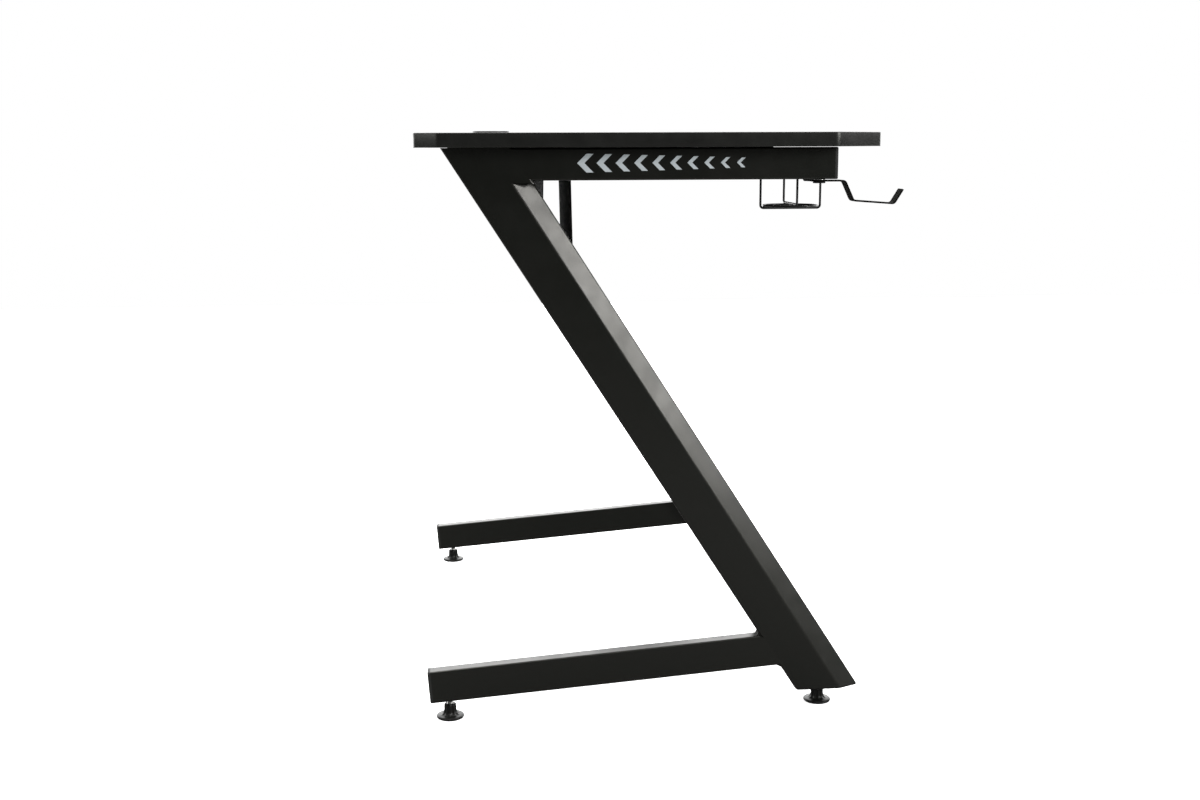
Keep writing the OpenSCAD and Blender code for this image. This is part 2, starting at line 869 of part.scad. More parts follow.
module top_screws() {
  color(bolt_black)
    for (x = top_xs, y = [front_bar_y, rear_bar_y])
      up_screw(x, y, under_z - bar_h, screw_d, screw_head_d, screw_head_h, bar_h + screw_bite);
}

module leg_pads() {
  color(rubber_black) at_both_sides() leg_pad();
}

module channel_screws() {
  color(bolt_black)
    for (x = chan_xs)
      up_screw(x, chan_y, under_z - chan_t, small_screw_d, small_head_d, small_head_h, chan_t + screw_bite);
}

module glide_inserts() {
  color(zinc)
    at_both_sides() {
      glide_insert(-fg_x, fg_y, fg_z);
      intersection() {
        glide_insert(-rg_x, rg_y, rg_z - bend_r);
        foot_frame() translate([0, -over / 2, 0]) cube([tube_t, over, over]);
      }
    }
}

module front_left_glide() {
  glide_pad(-fg_x, fg_y);
}

module front_left_stud() {
  glide_stud(-fg_x, fg_y, fg_z);
}

module front_right_glide() {
  glide_pad(fg_x, fg_y);
}

module front_right_stud() {
  glide_stud(fg_x, fg_y, fg_z);
}

module rear_left_glide() {
  glide_pad(-rg_x, rg_y);
}

module rear_left_stud() {
  glide_stud(-rg_x, rg_y, rg_z);
}

module rear_right_glide() {
  glide_pad(rg_x, rg_y);
}

module rear_right_stud() {
  glide_stud(rg_x, rg_y, rg_z);
}

module pivot_washer() {
  color(zinc) pivot_ring_shape(beam_low - pivot_washer_h, pivot_washer_h, pivot_head_d);
}

module pivot_nut() {
  color(zinc) pivot_ring_shape(beam_low + wall, pivot_nut_h, pivot_nut_d);
}

// The wires of the basket: the floor of the long wire is lowest, the base hoop lies on it
module cup_hoop() {
  color(paint_black) hoop(cup_r, ring_z);
}

module cup_wire_long() {
  color(paint_black) translate([cup_x, cup_y, 0]) rotate([0, 0, 90]) u_wire(floor_z);
}

module cup_base_hoop() {
  color(paint_black) hoop(base_r, floor_z + wire_d);
}

module cup_wire_cross() {
  color(paint_black) translate([cup_x, cup_y, 0]) u_wire(floor_z + 2 * wire_d);
}

desktop_panel();
desktop_edge_band();
left_leg();
right_leg();
left_beam();
right_beam();
left_foot_bar();
right_foot_bar();
left_beam_cap();
right_beam_cap();
left_foot_cap();
right_foot_cap();
left_leg_crown();
right_leg_crown();
left_leg_sole();
right_leg_sole();
left_welds();
right_welds();
left_chevrons();
right_chevrons();
front_crossbar();
rear_crossbar();
front_end_plates();
rear_end_plates();
frame_bolts();
frame_inserts();
top_screws();
leg_pads();
cable_channel();
channel_screws();
glide_inserts();
front_left_glide();
front_left_stud();
front_right_glide();
front_right_stud();
rear_left_glide();
rear_left_stud();
rear_right_glide();
rear_right_stud();
pivot_bolt();
pivot_washer();
pivot_nut();
swivel_bracket();
cup_hoop();
cup_wire_long();
cup_wire_cross();
cup_base_hoop();
grommet_ring();
grommet_cap();
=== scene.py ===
import json
import math

import bmesh
import bpy
import numpy as np
from mathutils import Matrix, Vector


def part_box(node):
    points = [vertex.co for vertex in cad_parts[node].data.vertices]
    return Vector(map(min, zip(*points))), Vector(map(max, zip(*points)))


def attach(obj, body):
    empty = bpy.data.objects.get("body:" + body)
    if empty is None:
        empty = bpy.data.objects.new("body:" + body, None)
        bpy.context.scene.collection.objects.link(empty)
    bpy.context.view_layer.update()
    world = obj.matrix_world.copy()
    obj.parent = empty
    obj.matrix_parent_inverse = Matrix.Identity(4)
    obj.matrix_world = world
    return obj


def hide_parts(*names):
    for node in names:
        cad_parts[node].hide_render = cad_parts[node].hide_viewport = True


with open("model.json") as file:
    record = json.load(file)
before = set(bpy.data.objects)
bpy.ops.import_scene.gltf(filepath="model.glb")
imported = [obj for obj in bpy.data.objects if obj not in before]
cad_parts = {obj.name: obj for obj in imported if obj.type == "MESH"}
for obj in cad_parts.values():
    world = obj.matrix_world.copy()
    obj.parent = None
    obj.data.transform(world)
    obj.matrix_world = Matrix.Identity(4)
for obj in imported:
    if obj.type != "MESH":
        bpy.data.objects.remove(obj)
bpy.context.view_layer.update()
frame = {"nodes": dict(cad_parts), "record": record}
print("frame loaded:", len(frame["nodes"]), "nodes")

scene = bpy.context.scene


# A material with only its output and one Principled shader
def newMaterial(name):
    made = bpy.data.materials.new(name)
    made.use_nodes = True
    tree = made.node_tree
    shader = tree.nodes["Principled BSDF"]
    return made, tree, shader


# Noise on the object's own coordinates, in cycles per metre
def objectNoise(tree, scale, detail):
    where = tree.nodes.new("ShaderNodeTexCoord")
    noise = tree.nodes.new("ShaderNodeTexNoise")
    noise.inputs["Scale"].default_value = scale
    noise.inputs["Detail"].default_value = detail
    tree.links.new(where.outputs["Object"], noise.inputs["Vector"])
    return noise.outputs["Fac"]


noiseSpan = (0.3, 0.7)  # nearly all of a noise lies between these


# Takes that part of a noise to the range from low to high
def spread(tree, value, low, high):
    ramp = tree.nodes.new("ShaderNodeMapRange")
    ramp.inputs["From Min"].default_value, ramp.inputs["From Max"].default_value = noiseSpan
    ramp.inputs["To Min"].default_value = low
    ramp.inputs["To Max"].default_value = high
    tree.links.new(value, ramp.inputs["Value"])
    return ramp.outputs["Result"]


# What a finish has unless it says otherwise
usualCoat = {
    "metal": 0.0,
    "specular": 0.5,
    "gloss": (1, 1, 1),
    "patchScale": 40,
    "patchDetail": 4,
    "roughSpread": 0.05,
    "grainDetail": 3,
}


# Paint, plastic, board or metal: one colour, a roughness that varies in patches, and a fine relief
def coat(name, own):
    values = {**usualCoat, **own}
    made, tree, shader = newMaterial(name)
    shader.inputs["Base Color"].default_value = (*values["colour"], 1)
    shader.inputs["Metallic"].default_value = values["metal"]
    shader.inputs["Specular IOR Level"].default_value = values["specular"]
    shader.inputs["Specular Tint"].default_value = (*values["gloss"], 1)
    patches = objectNoise(tree, values["patchScale"], values["patchDetail"])
    lowest, highest = values["rough"] - values["roughSpread"], values["rough"] + values["roughSpread"]
    tree.links.new(spread(tree, patches, lowest, highest), shader.inputs["Roughness"])
    grain = objectNoise(tree, values["grainScale"], values["grainDetail"])
    bump = tree.nodes.new("ShaderNodeBump")
    bump.inputs["Strength"].default_value = values["reliefStrength"]
    bump.inputs["Distance"].default_value = values["relief"]
    tree.links.new(grain, bump.inputs["Height"])
    tree.links.new(bump.outputs["Normal"], shader.inputs["Normal"])
    return made


# Scales are in cycles per metre, and relief in metres
coats = {
    "board": {
        "colour": (0.006, 0.006, 0.0058), "rough": 0.7, "specular": 0.08, "gloss": (0.98, 1, 0.94),
        "relief": 0.00012, "grainScale": 900, "grainDetail": 5, "reliefStrength": 0.35,
        "patchScale": 12, "roughSpread": 0.01,
    },
    "edging": {
        "colour": (0.006, 0.006, 0.0055), "rough": 0.36, "specular": 0.42, "gloss": (0.98, 1, 0.94),
        "relief": 0.00004, "grainScale": 700, "reliefStrength": 0.3,
    },
    "frame_paint": {
        "colour": (0.005, 0.0055, 0.0042), "rough": 0.33, "specular": 0.33, "gloss": (1, 0.98, 0.93),
        "relief": 0.00006, "grainScale": 520, "grainDetail": 2, "reliefStrength": 0.4, "patchScale": 25,
    },
    "sheet_paint": {
        "colour": (0.006, 0.0062, 0.0054), "rough": 0.8, "specular": 0.03, "gloss": (1, 1, 0.94),
        "relief": 0.00005, "grainScale": 700, "grainDetail": 2, "reliefStrength": 0.35,
    },
    "cap_plastic": {
        "colour": (0.024, 0.024, 0.023), "rough": 0.55, "specular": 0.25,
        "relief": 0.00005, "grainScale": 1500, "reliefStrength": 0.3,
    },
    "chevron_silver": {
        "colour": (0.54, 0.59, 0.61), "rough": 0.45, "specular": 0.4,
        "relief": 0.00002, "grainScale": 1800, "reliefStrength": 0.2,
    },
    "foot_plastic": {
        "colour": (0.008, 0.008, 0.007), "rough": 0.32, "specular": 0.19,
        "relief": 0.00004, "grainScale": 1200, "reliefStrength": 0.4,
    },
    "zinc": {
        "colour": (0.62, 0.62, 0.6), "rough": 0.28, "metal": 1.0,
        "relief": 0.00003, "grainScale": 1400, "reliefStrength": 0.3,
    },
    "black_screw": {
        "colour": (0.03, 0.03, 0.031), "rough": 0.35, "metal": 0.6,
        "relief": 0.00002, "grainScale": 1400, "reliefStrength": 0.3,
    },
    "pad_rubber": {
        "colour": (0.012, 0.012, 0.012), "rough": 0.8, "specular": 0.2,
        "relief": 0.00005, "grainScale": 900, "reliefStrength": 0.4,
    },
    "wire_paint": {
        "colour": (0.01, 0.01, 0.0098), "rough": 0.32, "specular": 0.4,
        "relief": 0.00003, "grainScale": 900, "reliefStrength": 0.3,
    },
    "outlet_plastic": {
        "colour": (0.011, 0.011, 0.0115), "rough": 0.4, "specular": 0.45,
        "relief": 0.00005, "grainScale": 1600, "reliefStrength": 0.35,
    },
}
materials = {name: coat(name, own) for name, own in coats.items()}
slotOf = {entry["node"]: entry["material_slot"] for entry in frame["record"]["subparts"]}
for name, piece in frame["nodes"].items():
    for place in piece.material_slots:
        place.material = materials[slotOf[name]]
print("materials set:", len(materials))


# Every new piece is a grid of points, rows along a path and columns round a closed section. Neighbours are
# joined by squares, and the faces are turned outwards by the sign of the volume that they hold
def closedShell(grid, loopAlong=False):
    rows, cols = grid.shape[:2]
    index = np.arange(rows * cols).reshape(rows, cols)
    here = index if loopAlong else index[:-1]
    there = np.roll(index, -1, axis=0) if loopAlong else index[1:]
    quads = np.stack([here, there, np.roll(there, -1, axis=1), np.roll(here, -1, axis=1)], -1).reshape(-1, 4)
    points = grid.reshape(-1, 3)
    ends = np.zeros((0, 3), int)
    if not loopAlong:  # each open end is closed by a fan to the middle of its row
        points = np.vstack([points, grid[0].mean(0), grid[-1].mean(0)])
        first, last = index[0], index[-1]
        middleOf = np.full(cols, rows * cols)
        ends = np.vstack([np.stack([first, np.roll(first, -1), middleOf], -1),
                          np.stack([np.roll(last, -1), last, middleOf + 1], -1)])
    corners = points[np.vstack([quads[:, [0, 1, 2]], quads[:, [0, 2, 3]], ends])]
    volume = np.einsum("ij,ij->i", corners[:, 0], np.cross(corners[:, 1], corners[:, 2])).sum()
    if volume < 0:
        quads, ends = quads[:, ::-1], ends[:, ::-1]
    return points, quads, ends


# A mesh becomes a piece: its finish, its body and the nodes that it stands for
def finishPiece(name, mesh, slotName, body, replaced, sharpAngle):
    mesh.shade_smooth()
    mesh.set_sharp_from_angle(angle=math.radians(sharpAngle))
    mesh.materials.clear()
    mesh.materials.append(materials[slotName])
    piece = bpy.data.objects.new(name, mesh)
    scene.collection.objects.link(piece)
    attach(piece, body)
    if replaced:
        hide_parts(*replaced)
    return piece


# One piece from one or more closed shells
def buildPiece(name, shells, slotName, body, *replaced, sharpAngle=38):
    points, faces, offset = [], [], 0
    for shellPoints, quads, ends in shells:
        points.append(shellPoints)
        faces += (quads + offset).tolist() + (ends + offset).tolist()
        offset += len(shellPoints)
    mesh = bpy.data.meshes.new(name)
    mesh.from_pydata(np.vstack(points).tolist(), [], faces)
    return finishPiece(name, mesh, slotName, body, replaced, sharpAngle)


def mirrored(grid):
    return grid * np.array([-1.0, 1.0, 1.0])


# What is computed for the left frame is mirrored for the right one
sides = (("left", np.asarray), ("right", mirrored))


# A closed outline with round corners, from corner points listed anticlockwise: each corner gives an arc whose
# centre lies radius / sin(half its angle) inwards from it. Returns the points and their outward normals
def roundOutline(corners, radius, steps):
    corners = np.asarray(corners, float)
    back = np.roll(corners, 1, axis=0) - corners
    front = np.roll(corners, -1, axis=0) - corners
    back /= np.linalg.norm(back, axis=1, keepdims=True)
    front /= np.linalg.norm(front, axis=1, keepdims=True)
    half = np.arccos(np.clip((back * front).sum(1), -1, 1)) / 2
    inward = back + front
    inward /= np.linalg.norm(inward, axis=1, keepdims=True)
    radius = np.broadcast_to(radius, len(corners))
    centres = corners + inward * (radius / np.sin(half))[:, None]
    swing = math.pi / 2 - half
    outward = np.arctan2(-inward[:, 1], -inward[:, 0])
    angles = outward[:, None] + swing[:, None] * np.linspace(-1, 1, steps)[None, :]
    normals = np.stack([np.cos(angles), np.sin(angles)], -1)
    return (centres[:, None, :] + radius[:, None, None] * normals).reshape(-1, 2), normals.reshape(-1, 2)


# Lengths of the frame, in metres, the same as in the solid model
frameShape = {
    "outerX": 0.38,
    "tubeWidth": 0.02,
    "tubeRound": 0.0025,
    "wall": 0.0015,
    "heelY": -0.18355,
    "heelZ": 0.0213,
    "legWidth": 0.073,
    "leanRun": 0.4583,
    "leanRise": 0.7161,
    "footRise": math.radians(4.5),
    "footHeight": 0.043,
    "footUnder": 0.024,  # height of the foot bar's underside over the rear foot
    "rearFootInset": 0.0257,
}
lean = math.atan2(frameShape["leanRun"], frameShape["leanRise"])
beamLow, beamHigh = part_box("left_beam")


# Where the leg's rear and front faces stand at a height
def legRearY(z):
    return frameShape["heelY"] + (z - frameShape["heelZ"]) * math.tan(lean)


def legFrontY(z):
    return legRearY(z) - frameShape["legWidth"] / math.cos(lean)


# Legs, each a tube with a long flat on its front outer corner
legTube = {
    "depth": 0.04,
    "flatAlong": 0.023,  # the part of the outer face that the flat takes
    "flatTurn": math.radians(30),
    "cornerRound": 0.0025,
    "flatRound": 0.0096,  # where the flat leaves the outer face
    "noseRound": 0.0032,  # where it meets the front face
    "leastRound": 0.0005,
    "rollRound": 0.004,
    "stopFall": 0.0034,  # how far under the beam the flat stops, at the outer face
    "stopRise": 0.0017,  # how much higher it stops, flatAlong further in
    # above the stop, the points of the flat's rounding lie in the whole outer face:
    "faceBefore": 0.008,  # they start this far behind its front corner
    "faceAfter": 0.004,  # and end this far behind the place where the flat began
    "sole": 0.003,
    "soleHole": 0.006,
    "stepsPerCorner": 9,
    "rollSteps": 5,
}


# Outline across the leg, in from its outer face and forward from its rear face. The flat takes off the front
# outer corner; the outline at an inset is bounded by the same five lines, each moved in by the inset
def legOutline(inset, cut=True):
    depth, width, along = legTube["depth"], frameShape["legWidth"], legTube["flatAlong"]
    drop = along * math.tan(legTube["flatTurn"])
    slope = math.hypot(along, drop)
    steps = legTube["stepsPerCorner"]
    small = max(legTube["cornerRound"] - inset, legTube["leastRound"])
    rest = [(inset, inset), (depth - inset, inset), (depth - inset, width - inset)]
    lineEnd = width - along - inset * (slope - along) / drop
    if cut:
        nose = ((inset * slope + (along - inset) * drop) / along, width - inset)
        noseRound = max(legTube["noseRound"] - inset, legTube["leastRound"])
        radii = [small] * 3 + [noseRound, legTube["flatRound"] - inset]
        return roundOutline(rest + [nose, (inset, lineEnd)], radii, steps)[0]
    whole = roundOutline(rest + [(inset, width - inset)], small, steps)[0]
    places = np.linspace(width - legTube["faceBefore"], lineEnd - legTube["faceAfter"], steps)
    return np.vstack([whole, np.stack([np.full(steps, inset), places], -1)])


# The outline stands in the plane across the lean, and each of its points runs up the lean to a height:
# climb = (height - heel - forward * sin(lean)) / cos(lean)
def legRow(outline, height):
    inwards, forward = outline[:, 0], outline[:, 1]
    climb = (height - frameShape["heelZ"] - forward * math.sin(lean)) / math.cos(lean)
    return np.stack([inwards - frameShape["outerX"],
                     frameShape["heelY"] - forward * math.cos(lean) + climb * math.sin(lean),
                     np.broadcast_to(height, inwards.shape)], -1)


# The lower edge rolls over in a quarter circle: inset = round * (1 - sin a), lift = round * (1 - cos a).
# The tube has the part of the curve that lies within its wall, and the sole plate has the rest
def rollRow(angle):
    inset = legTube["rollRound"] * (1 - math.sin(angle))
    return legRow(legOutline(inset), frameShape["heelZ"] + legTube["rollRound"] * (1 - math.cos(angle)))


# The flat ends in a plane under the beam: height = beam's underside - stopFall + stopRise * share inwards
def stopRow(inset, cut):
    outline = legOutline(inset, cut)
    fall = legTube["stopFall"] - outline[:, 0] * legTube["stopRise"] / legTube["flatAlong"]
    return legRow(outline, beamLow.z + inset - fall)


wall = frameShape["wall"]
wallAngle = math.asin(1 - wall / legTube["rollRound"])
legGrid = np.stack(
    [rollRow(angle) for angle in np.linspace(wallAngle, math.pi / 2, legTube["rollSteps"])]
    + [stopRow(0, True), stopRow(0, False), legRow(legOutline(0, False), beamHigh.z),
       legRow(legOutline(wall, False), beamHigh.z), stopRow(wall, False), stopRow(wall, True)])
soleLow, soleHigh = frameShape["heelZ"], frameShape["heelZ"] + legTube["sole"]
footHole = (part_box("front_left_stud")[0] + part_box("front_left_stud")[1]) / 2
soleRim = legRow(legOutline(wall), soleHigh)
soleRolled = [rollRow(angle) for angle in np.linspace(wallAngle, 0, legTube["rollSteps"])]
bearing = np.arctan2(soleRim[:, 1] - footHole.y, soleRim[:, 0] - footHole.x)
holeRing = np.stack([footHole.x + legTube["soleHole"] * np.cos(bearing),
                     footHole.y + legTube["soleHole"] * np.sin(bearing), np.full(len(bearing), soleLow)], -1)
# The sole's rows go round it: upper rim, rolled edge, then down and up through the hole for the stud
soleGrid = np.stack([soleRim] + soleRolled + [holeRing, holeRing + np.array([0, 0, soleHigh - soleLow])])
for side, turn in sides:
    buildPiece(side + "Leg", [closedShell(turn(legGrid), loopAlong=True)], "frame_paint", "desk",
               side + "_leg")
    buildPiece(side + "Sole", [closedShell(turn(soleGrid), loopAlong=True)], "frame_paint", "desk",
               side + "_leg_sole")
print("legs done")

# Edge band of the board
edgeBand = {
    "frontCut": 0.074,
    "rearCut": 0.03,
    "cornerRound": 0.012,
    "round": 0.0009,  # rounding of the long edges
    "thickness": 0.001,
    "cornerSteps": 14,
    "edgeSteps": 6,
}


# The profile, a thin upright strip with two rounded outer edges, is carried along the outline of the board:
# point = outline point + outward normal * profile offset, at the height of the profile
def edgeBandShell():
    low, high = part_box("desktop_edge_band")
    width, frontY, rearY = high.x, low.y, high.y
    frontCut, rearCut = edgeBand["frontCut"], edgeBand["rearCut"]
    corners = [(-width + frontCut, frontY), (width - frontCut, frontY), (width, frontY + frontCut),
               (width, rearY - rearCut), (width - rearCut, rearY), (-width + rearCut, rearY),
               (-width, rearY - rearCut), (-width, frontY + frontCut)]
    outline, normals = roundOutline(corners, edgeBand["cornerRound"], edgeBand["cornerSteps"])
    radius = edgeBand["round"]
    turn = np.linspace(0, math.pi / 2, edgeBand["edgeSteps"])
    lowArc = np.stack([-radius + radius * np.sin(turn), low.z + radius - radius * np.cos(turn)], -1)
    highArc = np.stack([-radius + radius * np.cos(turn), high.z - radius + radius * np.sin(turn)], -1)
    inner = -edgeBand["thickness"]
    profile = np.vstack([[[inner, low.z]], lowArc, highArc, [[inner, high.z]]])
    flat = outline[:, None, :] + normals[:, None, :] * profile[None, :, :1]
    height = np.broadcast_to(profile[None, :, 1:], (len(outline), len(profile), 1))
    return closedShell(np.concatenate([flat, height], -1), loopAlong=True)


buildPiece("edgeBand", [edgeBandShell()], "edging", "desk", "desktop_edge_band")
print("edge band done")

# End caps of the tubes
endCap = {
    "lip": 0.004,
    "plug": 0.01,
    "edgeRound": 0.0013,
    "arcSteps": 6,
    "cornerSteps": 7,
    "leastRound": 0.0004,
    "dome": 0.0002,  # the moulded face stands a little proud of its edge
    "domeRings": (0.001, 0.003),  # how far in from the rounded edge its two rings lie
}


# The rectangular outline of the tube is carried outwards, and shrinks over a quarter circle into the end
# face, which a shallow dome closes: inset = edgeRound * (1 - cos t), depth = lip - edgeRound * (1 - sin t)
def endCapGrid(width, height):
    radius = endCap["edgeRound"]
    turn = np.linspace(0, math.pi / 2, endCap["arcSteps"])
    insets = [frameShape["wall"], frameShape["wall"], 0.0, *(radius * (1 - np.cos(turn)))]
    depths = [-endCap["plug"], 0.0, 0.0, *(endCap["lip"] - endCap["dome"] - radius * (1 - np.sin(turn)))]
    insets += [radius + ring for ring in endCap["domeRings"]]
    depths += [endCap["lip"] - endCap["dome"] / 2, endCap["lip"]]
    rows = []
    for inset, depth in zip(insets, depths):
        right, top = width - inset, height - inset
        corners = [(inset, inset), (right, inset), (right, top), (inset, top)]
        cornerRound = max(frameShape["tubeRound"] - inset, endCap["leastRound"])
        outline = roundOutline(corners, cornerRound, endCap["cornerSteps"])[0]
        rows.append(np.stack([outline[:, 0], np.full(len(outline), -depth), outline[:, 1]], -1))
    return np.stack(rows)


# Turned about the X axis, so that +Y falls, and then moved
def placeTurned(grid, at, angle):
    x, y, z = grid[..., 0], grid[..., 1], grid[..., 2]
    cosine, sine = math.cos(angle), math.sin(angle)
    return np.stack([x + at[0], y * cosine + z * sine + at[1], -y * sine + z * cosine + at[2]], -1)


capLow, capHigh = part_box("left_beam_cap")
beamCap = endCapGrid(frameShape["tubeWidth"], capHigh.z - capLow.z)
beamCap = placeTurned(beamCap, (-frameShape["outerX"], capLow.y + endCap["lip"], capLow.z), 0)
# The foot bar rises towards the leg about the line of its rear stud
rearStud = (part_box("rear_left_stud")[0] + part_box("rear_left_stud")[1]) / 2
footHeight, footUnder, rise = frameShape["footHeight"], frameShape["footUnder"], frameShape["footRise"]
footCap = endCapGrid(frameShape["tubeWidth"], footHeight)
footCap[..., 1] = frameShape["rearFootInset"] - endCap["lip"] - footCap[..., 1]
footCap = placeTurned(footCap, (-frameShape["outerX"], rearStud.y, footUnder), rise)
for side, turn in sides:
    buildPiece(side + "BeamCap", [closedShell(turn(beamCap))], "cap_plastic", "desk", side + "_beam_cap")
    buildPiece(side + "FootCap", [closedShell(turn(footCap))], "cap_plastic", "desk", side + "_foot_cap")
print("end caps done")

# Ground seams that close the groove between a tube and the leg
groundSeam = {
    "halfWidth": 0.0042,
    "proud": 0.00004,
    "depth": 0.0019,
    "endGap": 0.002,  # they stop short of the tube's rounded edges
    "steps": 10,
    "rows": 8,
}


# A lens-shaped section is carried along the leaning joint: outside = proud * cosine,
# inside = -depth * squared cosine, where the seam's half width is a quarter turn
def groundSeamGrid(edgeY, lowZ, highZ):
    across = np.linspace(-1, 1, groundSeam["steps"] * 2 + 1)[1:-1]
    swell = np.cos(across * math.pi / 2)
    outside = np.stack([groundSeam["proud"] * swell, across], -1)
    inside = np.stack([-groundSeam["depth"] * swell ** 2, across], -1)[::-1]
    section = np.vstack([outside, inside])
    heights = np.linspace(lowZ + groundSeam["endGap"], highZ - groundSeam["endGap"], groundSeam["rows"])
    grid = np.zeros((len(heights), len(section), 3))
    grid[..., 0] = -frameShape["outerX"] - section[None, :, 0]
    grid[..., 1] = edgeY(heights)[:, None] + section[None, :, 1] * groundSeam["halfWidth"]
    grid[..., 2] = heights[:, None]
    return grid


# Where a line on the foot bar, at a height above its underside, meets the rear face of the leg
def footLine(height):
    y0, z0 = rearStud.y + height * math.sin(rise), footUnder + height * math.cos(rise)
    run = (y0 - legRearY(z0)) / (math.cos(rise) + math.sin(rise) * math.tan(lean))
    return y0 - run * math.cos(rise), z0 + run * math.sin(rise)


seams = [
    groundSeamGrid(legFrontY, beamLow.z, beamHigh.z),
    groundSeamGrid(legRearY, footLine(0)[1], footLine(footHeight)[1]),
]
for side, turn in sides:
    buildPiece(side + "GroundSeams", [closedShell(turn(seam)) for seam in seams], "frame_paint", "desk")
print("ground seams done")

# Weld beads under and over the tubes
weldBead = {
    "leg": 0.0042,
    "ripple": 0.00035,
    "pitch": 0.0017,
    "taper": 0.0025,
    "leastTaper": 0.05,
    "waist": 0.72,  # how full the bead is halfway round, as a share of its leg
    "edge": 0.0006,
    "beamFrom": 0.012,  # under the beam it starts behind the flat
    "rowStep": 0.00022,
    "arcSteps": 9,
}


# A rounded fillet is carried across the tube: leg = full leg - ripple + ripple * |sin(pi * place / pitch)|,
# times the root of a taper at its ends. Round the section, fullness = waist + (1 - waist) * |cos(2 * turn)|
def weldBeadGrid(corner, alongFace, upFace, fromX):
    start = -frameShape["outerX"] + fromX
    stop = -frameShape["outerX"] + frameShape["tubeWidth"] - weldBead["edge"]
    places = np.arange(start, stop, weldBead["rowStep"])
    ripple = np.abs(np.sin((places - start) * math.pi / weldBead["pitch"]))
    fromEnd = np.minimum(places - start, stop - places)
    taper = np.clip(fromEnd / weldBead["taper"], weldBead["leastTaper"], 1) ** 0.5
    size = (weldBead["leg"] - weldBead["ripple"] + weldBead["ripple"] * ripple) * taper
    turn = np.linspace(0, math.pi / 2, weldBead["arcSteps"])
    fullness = weldBead["waist"] + (1 - weldBead["waist"]) * np.abs(np.cos(2 * turn))
    along = (np.cos(turn) * fullness)[:, None] * np.array(alongFace)
    up = (np.sin(turn) * fullness)[:, None] * np.array(upFace)
    section = np.vstack([[[0.0, 0.0]], along + up])
    grid = np.zeros((len(places), len(section), 3))
    grid[..., 0] = places[:, None]
    grid[..., 1:] = np.array(corner) + size[:, None, None] * section[None, :, :]
    return grid


upLeg = (math.sin(lean), math.cos(lean))
downLeg = (-upLeg[0], -upLeg[1])
awayFoot = (math.cos(rise), -math.sin(rise))
beads = [
    weldBeadGrid((legFrontY(beamLow.z), beamLow.z), (-1, 0), downLeg, weldBead["beamFrom"]),
    weldBeadGrid(footLine(footHeight), awayFoot, upLeg, weldBead["edge"]),
    weldBeadGrid(footLine(0), awayFoot, downLeg, weldBead["edge"]),
]
for side, turn in sides:
    buildPiece(side + "WeldBeads", [closedShell(turn(bead)) for bead in beads], "frame_paint", "desk",
               side + "_welds")
print("weld beads done")

# Threaded studs of the levelling feet
stud = {
    "radius": 0.004,
    "root": 0.00335,
    "pitch": 0.00125,
    "rootFlat": 0.12,  # shares of half a turn of the thread
    "flank": 0.74,
    "endDrop": 0.0008,
    "rowsPerTurn": 7,
    "columns": 28,
}


# A helical ridge: radius = root + (outside - root) * wave(height / pitch - angle / full turn), where the wave
# rises and falls in straight flanks with a small flat, and it dies away at the two ends
def studGrid(centreX, centreY, lowZ, highZ):
    rows = int((highZ - lowZ) / stud["pitch"] * stud["rowsPerTurn"])
    z = np.linspace(lowZ, highZ, rows)[:, None]
    angle = np.linspace(0, 2 * math.pi, stud["columns"], endpoint=False)[None, :]
    phase = np.mod(z / stud["pitch"] - angle / (2 * math.pi), 1)
    wave = np.clip((np.abs(2 * phase - 1) - stud["rootFlat"]) / stud["flank"], 0, 1)
    radius = stud["root"] + (stud["radius"] - stud["root"]) * wave
    ending = np.clip(np.minimum(z - lowZ, highZ - z) / stud["pitch"], 0, 1)
    radius = radius - (1 - ending) * stud["endDrop"]
    return np.stack([centreX + radius * np.cos(angle), centreY + radius * np.sin(angle),
                     np.broadcast_to(z, radius.shape)], -1)


# Moulded pads of the levelling feet
footPad = {
    "columns": 160,
    "ribs": 10,
    "ribHeight": 0.0011,
    "ribWidth": 0.15,
    "unit": 0.001,
    # radius and height in this unit, and share of the ribs
    "profile": [(2, 0, 0), (14.6, 0, 0), (15, 0.3, 0), (15.6, 0.3, 0), (16, 0, 0), (16.8, 0.05, 0),
                (17.5, 0.5, 0), (17.9, 1.2, 0), (18, 1.9, 0), (17.8, 2.6, 0), (17.2, 3.2, 0), (16.2, 3.5, 0),
                (14.6, 3.7, 0), (12.8, 3.9, 0.1), (11, 4.3, 0.5), (9.8, 4.9, 1), (8.9, 5.7, 1), (8.2, 6.8, 1),
                (7.6, 8.2, 1), (7.3, 9.8, 1), (7.2, 12, 1), (7.1, 14.8, 1), (7.1, 16.6, 1), (7.1, 17.5, 0.9),
                (6.9, 18.2, 0.5), (6.6, 18.7, 0.1), (6.1, 19, 0), (5, 19, 0), (4.5, 18.8, 0), (4.2, 18.3, 0),
                (4.2, 17.2, 0)],
}


# A lathe form whose neck is ribbed for the fingers:
# radius = profile + ribHeight * share of the ribs * bell(angle to the nearest rib)
def padGrid(centreX, centreY):
    reach, height, ribShare = (np.array(column)[:, None] for column in zip(*footPad["profile"]))
    angle = np.linspace(0, 2 * math.pi, footPad["columns"], endpoint=False)[None, :]
    ribStep = 2 * math.pi / footPad["ribs"]
    fromRib = np.mod(angle + ribStep / 2, ribStep) - ribStep / 2
    bell = np.exp(-(fromRib / footPad["ribWidth"]) ** 2)
    radius = reach * footPad["unit"] + footPad["ribHeight"] * ribShare * bell
    return np.stack([centreX + radius * np.cos(angle), centreY + radius * np.sin(angle),
                     np.broadcast_to(height * footPad["unit"], radius.shape)], -1)


